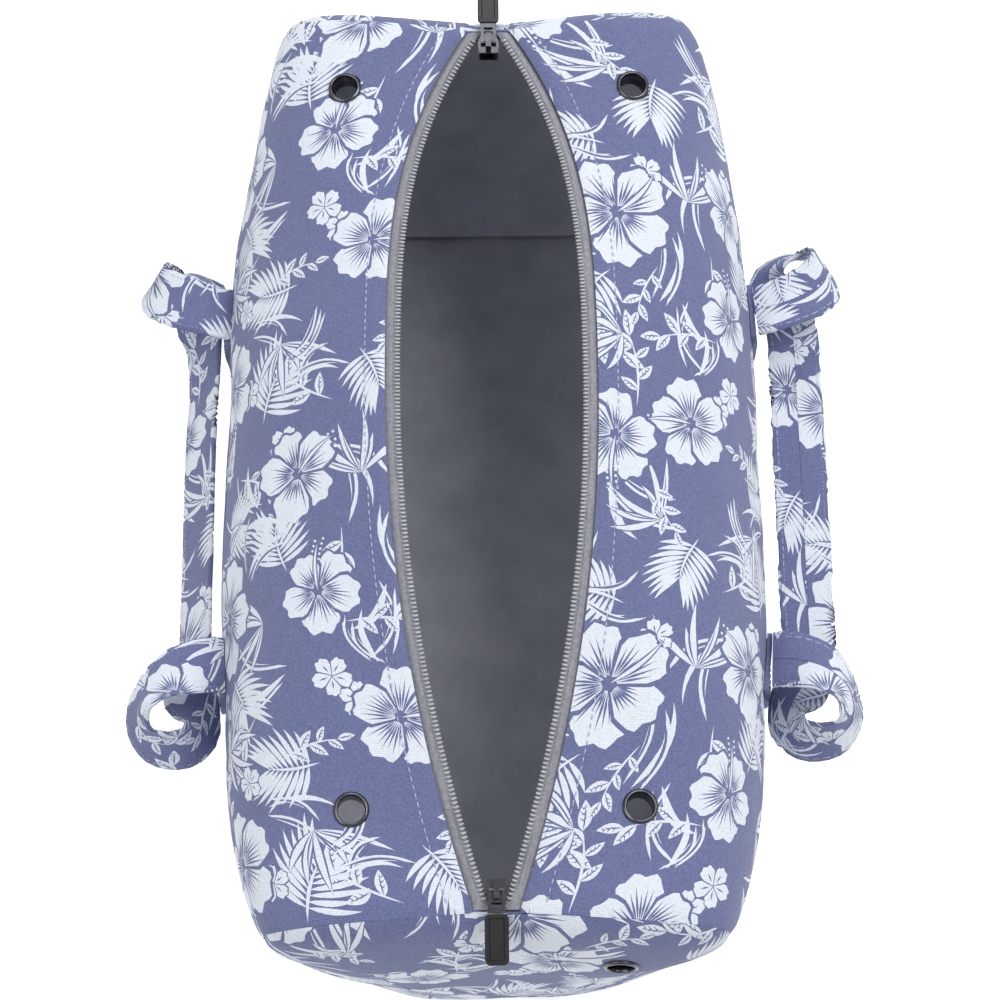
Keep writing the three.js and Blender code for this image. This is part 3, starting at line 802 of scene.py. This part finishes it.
# ---- Long sides ----------------------------------------------------------------------------------
PRINT_SHIFT = {"front": (-6 * MM, 14 * MM), "back": (-133 * MM, -22 * MM)}


def make_long_side(label):
    _, grid, surface = SIDES[label]
    reach = HALF_LENGTH - EDGE_GAP
    outline = rectangle(-reach, reach, 0, PANEL_WIDTH)
    holes = [circle(nearest_cloth(grid, middle_of("eyelet_" + label + end)), CLOTH_HOLE)
             for end in ("_left", "_right")]
    prints = print_over((-reach, 0), (reach, PANEL_WIDTH), PRINT_SHIFT[label])
    mesh = cloth_mesh(label + "_side", surface, outline, holes, prints)
    made = add_piece(label + "_side", mesh, [GROUND, INK], "shell", [label + "_panel"])
    v = PANEL_WIDTH - 8.5 * MM
    seam = dashes(label + "_mouth_stitching", surface, [(-reach, v), (reach, v)])
    add_piece(label + "_mouth_stitching", seam, [THREAD], "shell")


# ---- End panels -------------------------------------------------------------------------------
def end_surface(end):
    """Cloth coordinates run to the back and up from the panel's middle, over the swelling end."""
    row = -1 if end > 0 else 0
    back, front = BACK_GRID[row], FRONT_GRID[row]
    bottom = [(back[0][0], s * back[0][1], back[0][2]) for s in np.linspace(-0.9, 0.9, 13)]
    rim = np.array([tuple(p) for p in back] + [tuple(p) for p in front[::-1]] + bottom)
    middle = np.array([0, END_HEIGHT / 2])
    angles = np.arctan2(rim[:, 2] - middle[1], rim[:, 1])
    order = np.argsort(angles)
    turns = np.concatenate([angles[order] - 2 * math.pi, angles[order], angles[order] + 2 * math.pi])
    reaches = np.tile(np.hypot(rim[:, 1], rim[:, 2] - middle[1])[order], 3)
    seams = np.tile(np.abs(rim[:, 0])[order], 3)
    shares = np.linspace(0, 1, 400)
    swell = END_BULGE * (1 - shares ** 2.4) ** 0.55
    arc = np.concatenate([[0], np.cumsum(np.hypot(np.diff(shares) * END_HALF_WIDTH, np.diff(swell)))])
    arc /= END_HALF_WIDTH

    def place(flat):
        angle = np.arctan2(flat[:, 1], flat[:, 0])
        reach = np.interp(angle, turns, reaches)
        cloth = np.hypot(flat[:, 0], flat[:, 1]) / reach
        share = np.interp(cloth, arc, shares) + np.maximum(cloth - arc[-1], 0) * 0.3
        inside = np.minimum(share, 1)
        seam = blend_values(HALF_LENGTH, np.interp(angle, turns, seams), inside ** 2)
        bulge = END_BULGE * (1 - inside ** 2.4) ** 0.55
        calm = (1 - inside ** 5) * MM
        ripple = np.array([ripple_at((u, v, 0), 19, 5 + end) * 2.6 for u, v in flat]) * calm
        x = end * (seam + bulge + ripple - 0.8 * MM * inside ** 30)
        y = np.cos(angle) * reach * share
        z = middle[1] + np.sin(angle) * reach * share
        return np.stack([x, y, z], axis=1)

    outline = [(p[1] * arc[-1], (p[2] - middle[1]) * arc[-1]) for p in rim[::3]]

    def flatten(point):
        """The cloth coordinates of a place on the panel."""
        away = np.array([point.y, point.z - middle[1]])
        angle = math.atan2(away[1], away[0])
        reach = float(np.interp(angle, turns, reaches))
        share = float(np.interp(np.linalg.norm(away) / reach, shares, arc))
        return tuple(away / np.linalg.norm(away) * share * reach)

    return Surface(place, end), outline, flatten


ENDS = {"left": end_surface(-1), "right": end_surface(1)}


def make_end(label):
    surface, outline, flatten = ENDS[label]
    holes = []
    if label == "right":
        holes.append(circle(flatten(middle_of("eyelet_right_end")), CLOTH_HOLE))
    reach = 150 * MM
    prints = print_over((-reach, -reach), (reach, reach), (-60 * MM, -40 * MM))
    mesh = cloth_mesh(label + "_end", surface, outline, holes, prints)
    made = add_piece(label + "_end", mesh, [GROUND, INK], "shell", [label + "_end_panel"])


def make_base():
    seam = [section(x)[0][0] for x in np.linspace(-HALF_LENGTH, HALF_LENGTH, 41)]
    outline = [(p[0], -p[1]) for p in seam] + [(p[0], p[1]) for p in seam[::-1]]
    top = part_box("base_panel")[1].z

    def place(flat):
        ripple = np.array([ripple_at((u, v, 0), 18, 11) for u, v in flat]) * 0.3 * MM
        return np.column_stack([flat, np.full(len(flat), 0.35 * MM) + ripple])

    low, high = (-HALF_LENGTH, -MIDDLE_HALF_WIDTH), (HALF_LENGTH, MIDDLE_HALF_WIDTH)
    prints = print_over(low, high, (10 * MM, 5 * MM))
    mesh = cloth_mesh("base", Surface(place, -1), outline, (), prints, 6 * MM, top - 0.4 * MM)
    made = add_piece("base", mesh, [GROUND, INK], "shell", ["base_panel"])


# ---- Lining ------------------------------------------------------------------------------------
def grid_sheet(name, points, sign):
    """A sheet through a grid of places, with its cloth coordinates measured along the grid."""
    rows, columns = points.shape[:2]
    across = np.linalg.norm(np.diff(points, axis=1), axis=2).mean(axis=0)
    along = np.linalg.norm(np.diff(points, axis=0), axis=2).mean(axis=1)
    vs = np.concatenate([[0], np.cumsum(across)])
    us = np.concatenate([[0], np.cumsum(along)])
    faces = []
    for i in range(rows - 1):
        for j in range(columns - 1):
            a = i * columns + j
            face = (a, a + columns, a + columns + 1, a + 1)
            faces.append(face if sign > 0 else face[::-1])
    mesh = bpy.data.meshes.new(name)
    mesh.from_pydata(points.reshape(-1, 3).tolist(), [], faces)
    uv = mesh.uv_layers.new(name="cloth")
    for loop in mesh.loops:
        row, column = divmod(loop.vertex_index, columns)
        uv.data[loop.index].uv = (us[row], vs[column])
    smooth(mesh)
    return mesh, (us[-1], vs[-1])


def inner_place(surface, flat, depth, seed):
    wrinkle = np.array([ripple_at((u, v * 0.6, 0), 30, seed) for u, v in flat])
    out = -depth - (1.1 + wrinkle * 1.0) * MM
    return surface.place(flat) + surface.normal(flat) * out[:, None]


def make_side_lining(label):
    sign, _, surface = SIDES[label]
    us = np.linspace(-HALF_LENGTH + 2 * MM, HALF_LENGTH - 2 * MM, 79)
    vs = np.linspace(3 * MM, PANEL_WIDTH - 4 * MM, 49)
    flat = np.array([(u, v) for u in us for v in vs])
    points = inner_place(surface, flat, LINING_DEPTH, 21 + sign).reshape(len(us), len(vs), 3)
    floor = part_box("base_lining")[1].z
    points[:, :, 2] = np.maximum(points[:, :, 2], floor)
    holes = [np.array(middle_of("eyelet_" + label + end)) for end in ("_left", "_right")]
    mesh, size = grid_sheet(label + "_inside", points, sign)
    made = add_piece(label + "_inside", mesh, [LINING], "shell", [label + "_lining"])
    open_holes(made, holes)


def open_holes(piece, centers):
    """Leaves out the faces where an eyelet's barrel passes."""
    edit = bmesh.new()
    edit.from_mesh(piece.data)
    reach = LINING_HOLE
    gone = [f for f in edit.faces
            if any(min((v.co - Vector(c)).length for v in f.verts) < reach for c in centers)]
    bmesh.ops.delete(edit, geom=gone, context="FACES")
    edit.to_mesh(piece.data)
    edit.free()


def make_end_lining(label):
    surface, outline, _ = ENDS[label]
    shares = np.linspace(0.0005, 0.99, 20)
    rim = np.array(outline + outline[:1])
    flat = np.array([(p[0] * s, p[1] * s) for s in shares for p in rim])
    points = inner_place(surface, flat, LINING_DEPTH, 31).reshape(len(shares), len(rim), 3)
    points[:, :, 2] = np.maximum(points[:, :, 2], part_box("base_lining")[1].z)
    mesh, _ = grid_sheet(label + "_end_inside", points, -surface.sign)
    made = add_piece(label + "_end_inside", mesh, [LINING], "shell", [label + "_end_lining"])
    if label == "right":
        open_holes(made, [np.array(middle_of("eyelet_right_end")) - np.array([6 * MM, 0, 0])])


def make_floor_lining():
    low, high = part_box("base_lining")
    past = 7 * MM
    us = np.linspace(low.x - past, high.x + past, 61)
    rows = []
    for u in us:
        reach = section(max(-HALF_LENGTH, min(u, HALF_LENGTH)))[0][2][1] - LINING_DEPTH
        rows.append([(u, v * reach, high.z - 0.4 * MM + ripple_at((u, v * reach, 0), 24, 17) * 0.8 * MM)
                     for v in np.linspace(-1, 1, 29)])
    mesh, size = grid_sheet("floor_inside", np.array(rows), 1)
    made = add_piece("floor_inside", mesh, [LINING], "shell", ["base_lining"])


# ---- Zip ---------------------------------------------------------------------------------------
def mouth_line(offset, down, count, reach):
    """Places along the back edge of the mouth, offset outward from the coil's inner face."""
    xs = np.linspace(-reach, reach, count)
    return np.array([(x, mouth_half(x) + offset, mouth_height(x) - down) for x in xs])


def make_tape(label, side):
    """The woven tape, from under the canvas to its ribbed edge at the coil."""
    reach = HALF_LENGTH - 1.5 * MM
    profile = [(TAPE_SHOWN + 6 * MM, 4.3), (TAPE_SHOWN + 1.5 * MM, 4.0), (TAPE_SHOWN, 3.5),
               (5.6 * MM, 2.6), (4.2 * MM, 2.2), (3.0 * MM, 2.0), (1.9 * MM, 2.15), (0.6 * MM, 2.6)]
    lines = [mouth_line(out, down * MM, 196, reach) for out, down in profile]
    points = np.stack(lines, axis=1)
    points[:, :, 2] += np.array([[ripple_at((x, 0, 0), 60, 40 + side) * 0.35 * MM] for x in points[:, 0, 0]])
    points[:, :, 1] *= side
    mesh, size = grid_sheet(label + "_tape", points, -side)
    made = add_piece(label + "_tape", mesh, [TAPE], "shell", [label + "_zip_tape"])


def make_coil(label, side):
    """The coil: one rounded loop of nylon after another along the tape's edge."""
    pitch = 1.7 * MM
    reach = HALF_LENGTH - 6 * MM
    count = int(2 * reach / pitch)
    line = mouth_line(COIL_WIDTH / 2, COIL_SUNK + COIL_HEIGHT / 2, count, reach)
    line[:, 1] *= side
    along = np.gradient(line, axis=0)
    along /= np.linalg.norm(along, axis=1, keepdims=True)
    up = np.array([0, 0, 1.0])
    out = np.cross(up, along) * -side
    out /= np.linalg.norm(out, axis=1, keepdims=True)
    turns, around = 10, 5
    verts, faces = [], []
    for center, ahead, outward in zip(line, along, out):
        base = len(verts)
        for i in range(turns):
            a = 2 * math.pi * i / turns
            flat_top = math.copysign(abs(math.sin(a)) ** 0.8, math.sin(a))
            ring = center + outward * (math.cos(a) * 0.95 * MM) + up * (flat_top * 0.72 * MM)
            ring = ring + ahead * (math.sin(a) * 0.25 * MM)
            away = outward * math.cos(a) + up * math.sin(a)
            for k in range(around):
                b = 2 * math.pi * k / around
                verts.append(ring + away * (math.cos(b) * 0.42 * MM) + ahead * (math.sin(b) * 0.5 * MM))
        for i in range(turns):
            for k in range(around):
                p, q = i * around + k, i * around + (k + 1) % around
                r, s = (p + around) % (turns * around), (q + around) % (turns * around)
                faces.append((base + p, base + q, base + s, base + r))
    mesh = bpy.data.meshes.new(label + "_coil")
    mesh.from_pydata([tuple(v) for v in verts], [], faces)
    smooth(mesh)
    add_piece(label + "_coil", mesh, [COIL], "shell", [label + "_zip_coil"])
    line = [(x, 0.0) for x in np.linspace(-reach, reach, 120)]
    edge = Surface(lambda flat: tape_place(flat, side), side)
    seam = dashes(label + "_coil_stitching", edge, line, 1.9 * MM, 0.7, 0.28 * MM)
    add_piece(label + "_coil_stitching", seam, [THREAD_DARK], "shell")


def tape_place(flat, side):
    """The line on the tape just outside the coil, where the coil is sewn on."""
    inset = COIL_WIDTH + 0.5 * MM
    down = 1.9 * MM
    return np.array([(u, side * (mouth_half(u) + inset - v), mouth_height(u) - down) for u, v in flat])


# ---- Eyelets -----------------------------------------------------------------------------------
def lathe(name, profile, frame_matrix, segments=48):
    edit = bmesh.new()
    rings = []
    for radius, z in profile:
        ring = [edit.verts.new((radius * math.cos(a), radius * math.sin(a), z))
                for a in (2 * math.pi * k / segments for k in range(segments))]
        rings.append(ring)
    for lower, upper in zip(rings, rings[1:] + rings[:1]):
        for k in range(segments):
            n = (k + 1) % segments
            edit.faces.new((lower[k], lower[n], upper[n], upper[k]))
    bmesh.ops.recalc_face_normals(edit, faces=edit.faces)
    edit.transform(frame_matrix)
    mesh = bpy.data.meshes.new(name)
    edit.to_mesh(mesh)
    edit.free()
    smooth(mesh)
    return mesh


def eyelet_frame(surface, flat):
    flat = np.array([flat])
    place, normal = surface.lift(flat)[0], Vector(surface.normal(flat)[0])
    turn = normal.to_track_quat("Z", "Y").to_matrix().to_4x4()
    return Matrix.Translation(Vector(place)) @ turn


def make_eyelet(name, surface, flat):
    hole, rim, wall = 5.5, 7.2, 0.7
    flange = [(hole, -8.2), (hole + wall, -8.2), (hole + wall, 0.0), (rim - 0.1, 0.05), (rim, 0.35),
              (rim - 0.15, 0.75), (rim - 0.5, 1.1), (rim - 1.0, 1.35), (hole + 0.5, 1.38), (hole + 0.2, 1.2),
              (hole, 0.8)]
    inner, outer, top = hole + wall + 0.3, rim + 0.6, -7.2
    washer = [(inner, top - 0.7), (outer - 0.3, top - 0.7), (outer, top - 0.4), (outer, top), (inner, top)]
    frame_matrix = eyelet_frame(surface, flat)
    for kind, node, profile in (("ring_", "eyelet_", flange), ("washer_", "eyelet_washer_", washer)):
        mesh = lathe(kind + name, [(r * MM, z * MM) for r, z in profile], frame_matrix)
        add_piece(kind + name, mesh, [METAL], "shell", [node + name])


def make_eyelets():
    for label, (_, grid, surface) in SIDES.items():
        for end in ("_left", "_right"):
            make_eyelet(label + end, surface, nearest_cloth(grid, middle_of("eyelet_" + label + end)))
    surface, _, flatten = ENDS["right"]
    make_eyelet("right_end", surface, flatten(middle_of("eyelet_right_end")))


# ---- Pull tabs ---------------------------------------------------------------------------------
def rounded_ring(half_length, half_width, radius, inset, z):
    """A rectangle with rounded corners, drawn in by inset."""
    ring = []
    for corner, (sx, sy) in enumerate([(1, 1), (-1, 1), (-1, -1), (1, -1)]):
        for k in range(7):
            a = math.pi / 2 * (corner + k / 6)
            x = sx * (half_length - radius) + math.cos(a) * (radius - inset)
            y = sy * (half_width - radius) + math.sin(a) * (radius - inset)
            ring.append((x, y, z))
    return ring


def make_pull_tab(label):
    """A smooth tab with a raised border on both faces."""
    low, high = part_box(label + "_pull_tab")
    center, half = (low + high) / 2, (high - low) / 2
    radius, thick = 2.2 * MM, half.z
    levels = [(2.1, thick - 0.4 * MM), (1.7, thick), (0.45, thick), (0.1, thick - 0.2 * MM),
              (0, thick - 0.5 * MM)]
    levels = levels + [(inset, -z) for inset, z in levels[::-1]]
    edit = bmesh.new()
    rings = []
    for inset, z in levels:
        ring = rounded_ring(half.x, half.y, radius, inset * MM, z)
        rings.append([edit.verts.new(Vector(place) + center) for place in ring])
    for upper, lower in zip(rings, rings[1:]):
        for k in range(len(upper)):
            n = (k + 1) % len(upper)
            edit.faces.new((upper[k], lower[k], lower[n], upper[n]))
    edit.faces.new(rings[0])
    edit.faces.new(rings[-1][::-1])
    bmesh.ops.recalc_face_normals(edit, faces=edit.faces)
    mesh = bpy.data.meshes.new(label + "_tab")
    edit.to_mesh(mesh)
    edit.free()
    add_piece(label + "_tab", mesh, [BLACK], label + "_pull", [label + "_pull_tab"])


# ---- Straps ------------------------------------------------------------------------------------
def strap_loop():
    """Once round the strap's section: places across and through it, crowned between its stitches."""
    half, thick = STRAP_WIDTH / 2, STRAP_THICKNESS / 2
    top = []
    for w in np.linspace(-half, half, 41):
        edge = max(1 - abs(w / half) ** 14, 0) ** 0.5
        seam = 0.28 * MM * math.exp(-((abs(w) - (half - 3 * MM)) / (0.8 * MM)) ** 2)
        top.append((w, (thick - seam) * edge))
    loop = top + [(w, -n) for w, n in top[::-1]]
    loop = np.array(loop[20:] + loop[:21])[::-1]
    lengths = np.concatenate([[0], np.cumsum(np.linalg.norm(np.diff(loop, axis=0), axis=1))])
    return loop, lengths


LOOP, LOOP_LENGTHS = strap_loop()

# The way of a strap from where it leaves the wall: how far away from the bag's middle, how far
# out and how far up, in mm, then the direction across the strap in the same terms.
CURL = [
    ((0, 0.8, 0), (1, 0, 0)), ((0.5, 6, 2.4), (1, 0, 0)), ((2, 13, 4.4), (1, -0.1, 0.1)),
    ((7, 23, 6), (0.85, -0.35, 0.4)), ((16, 31, 4), (0.4, -0.45, 0.8)), ((27, 32, -2), (-0.1, -0.4, 0.9)),
    ((34, 25, -7), (-0.45, -0.2, 0.87)), ((34, 15, -11), (-0.45, 0.15, 0.87)),
    ((27, 9, -14), (-0.2, 0.5, 0.8)), ((17, 11, -16.5), (0, 0.85, 0.5)), ((6, 16, -17), (0, 1, 0.1)),
    ((-8, 18.5, -17), (0, 1, 0)),
]
ROLL = [
    ((0, 0.8, 0), (1, 0, 0)), ((0.5, 6, 2.4), (1, 0, 0)), ((2, 14, 5), (1, -0.1, 0.05)),
    ((6, 24, 6.5), (0.92, -0.3, 0.15)), ((13, 32, 5), (0.75, -0.5, 0.4)), ((22, 33, -2), (0.3, -0.5, 0.8)),
    ((28, 27, -8), (-0.2, -0.35, 0.9)), ((29, 18, -11), (-0.5, 0, 0.85)), ((24, 11, -14), (-0.2, 0.5, 0.8)),
    ((15, 12, -16.5), (0, 0.9, 0.4)), ((5, 17, -17), (0, 1, 0.1)), ((-8, 18.5, -17), (0, 1, 0)),
]


def strap_half(way, end, side, lean, draw_in, widen):
    """One half of a strap in the bag's frame, from its wall end: places and directions across."""
    steps = [(np.array(p, float), np.array(w, float)) for p, w in way]
    stretch = ANCHOR_X / MM
    (grip_start, grip_out, grip_up), level = way[-1]
    for share in (0.35, 0.6, 0.85, 1.0):
        away = grip_start - (stretch + grip_start) * share
        steps.append((np.array([away, grip_out, grip_up], float), np.array(level, float)))
    rows = []
    for place, across in steps:
        away, out, up = place * np.array([widen, 1, 1])
        settled = np.clip((12 - away) / 22, 0, 1)
        out -= draw_in * settled
        across = across / np.linalg.norm(across)
        c, s = math.cos(lean * settled), math.sin(lean * settled)
        across = np.array([across[0], across[1] * c + across[2] * s, across[2] * c - across[1] * s])
        spot = (end * (ANCHOR_X / MM + away), side * (HINGE_Y / MM + out), HINGE_Z / MM + up)
        rows.append((*spot, end * across[0], side * across[1], across[2]))
    return rows


def strap_surface(side, lean, draw_in, ways):
    left = strap_half(ways[0], -1, side, lean, draw_in, ways[2])
    right = strap_half(ways[1], 1, side, lean, draw_in, ways[3])
    flipped = [(x, y, z, -a, -b, -c) for x, y, z, a, b, c in right]
    rows = np.array(left + flipped[-2::-1], float)
    for k in range(1, len(rows)):
        if np.dot(rows[k, 3:], rows[k - 1, 3:]) < 0:
            rows[k, 3:] *= -1
    rows[:, :3] *= MM
    line, length = smooth_line(rows, 260)
    ahead = np.gradient(line[:, :3], axis=0)
    ahead /= np.linalg.norm(ahead, axis=1, keepdims=True)
    across = line[:, 3:] - ahead * np.sum(line[:, 3:] * ahead, axis=1, keepdims=True)
    across /= np.linalg.norm(across, axis=1, keepdims=True)
    normal = np.cross(ahead, across)
    at = np.linspace(0, length, len(line))
    wave = np.array([ripple_at((s, 0, 0), 14, 50 + side) for s in at])
    calm = np.clip(np.minimum(at, length - at) / (90 * MM), 0, 1)
    line[:, :3] += normal * (wave * calm * 3 * MM)[:, None]

    def place(flat):
        s = np.clip(flat[:, 0], 0, length)
        v = np.mod(flat[:, 1], LOOP_LENGTHS[-1])
        w = np.interp(v, LOOP_LENGTHS, LOOP[:, 0])
        n = np.interp(v, LOOP_LENGTHS, LOOP[:, 1])
        middle = np.stack([np.interp(s, at, line[:, k]) for k in range(3)], axis=1)
        a = np.stack([np.interp(s, at, across[:, k]) for k in range(3)], axis=1)
        b = np.stack([np.interp(s, at, normal[:, k]) for k in range(3)], axis=1)
        return middle + a * w[:, None] + b * n[:, None]

    return Surface(place, 1), length


STRAPS = {
    "front": strap_surface(-1, 0.9, 6.0, (ROLL, CURL, 0.8, 0.98)),
    "back": strap_surface(1, 0.1, -1.0, (ROLL, CURL, 1.05, 0.95)),
}


def make_strap(label):
    surface, length = STRAPS[label]
    girth = LOOP_LENGTHS[-1]
    outline = rectangle(0, length, 0, girth)
    prints = print_over((0, 0), (length, girth), (20 * MM, 10 * MM), 0.95)
    mesh = cloth_mesh(label + "_strap", surface, outline, (), prints, 3 * MM, 0.3 * MM)
    body = label + "_strap"
    made = add_piece(label + "_strap", mesh, [GROUND, INK], body, [label + "_handle"])
    inset = 3.2 * MM
    for face, edge_at in (("upper", girth * 0.25), ("under", girth * 0.75)):
        for edge, v in (("near", edge_at - inset), ("far", edge_at + inset)):
            name = label + "_strap_stitching_" + face + "_" + edge
            seam = dashes(name, surface, [(1 * MM, v), (length - MM, v)])
            add_piece(name, seam, [THREAD], body)


def make_anchor(label, where, end):
    """The sewn-down strap end: a flat patch with a stitched box and cross."""
    sign, grid, surface = SIDES[label]
    x = end * ANCHOR_X
    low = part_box(label + "_handle_anchor_" + where)[0].z
    _, v1 = nearest_cloth(grid, (x, sign * HINGE_Y, HINGE_Z - 1.5 * MM))
    _, v0 = nearest_cloth(grid, (x, sign * HINGE_Y, low))
    patch = surface.offset(2.5 * MM)
    half = STRAP_WIDTH / 2
    outline = rectangle(x - half, x + half, v0, v1)
    prints = print_over((x - half, v0), (x + half, v1), (x - 30 * MM, v0 - 20 * MM))
    name = label + "_anchor_" + where
    mesh = cloth_mesh(name, patch, outline, (), prints, 3 * MM, 2.2 * MM)
    replaced = [label + "_handle_anchor_" + where]
    made = add_piece(name, mesh, [GROUND, INK], "shell", replaced)
    a, b, c, d = x - half + 3 * MM, x + half - 3 * MM, v0 + 3 * MM, v0 + 24 * MM
    lines = [[(a, c), (b, c), (b, d), (a, d), (a, c)], [(a, c), (b, d)], [(a, d), (b, c)]]
    for k, line in enumerate(lines):
        fine = spaced_line(line, 2 * MM)
        seam = dashes(name + "_stitching_" + str(k), patch, fine, 2.8 * MM)
        add_piece(seam.name, seam, [THREAD], "shell")


# ---- Build ----------------------------------------------------------------------------------------
for label, (side, _, _) in SIDES.items():
    make_long_side(label)
    make_side_lining(label)
    make_tape(label, side)
    make_coil(label, side)
    make_strap(label)
    for where, end in (("left", -1), ("right", 1)):
        make_anchor(label, where, end)
for label in ENDS:
    make_end(label)
    make_end_lining(label)
    make_pull_tab(label)
make_base()
make_floor_lining()
make_eyelets()

KEPT = {"slider": METAL, "loop": METAL, "base_board": BOARD}
for name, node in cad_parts.items():
    for word, chosen in KEPT.items():
        if word in name:
            node.data.materials.clear()
            node.data.materials.append(chosen)
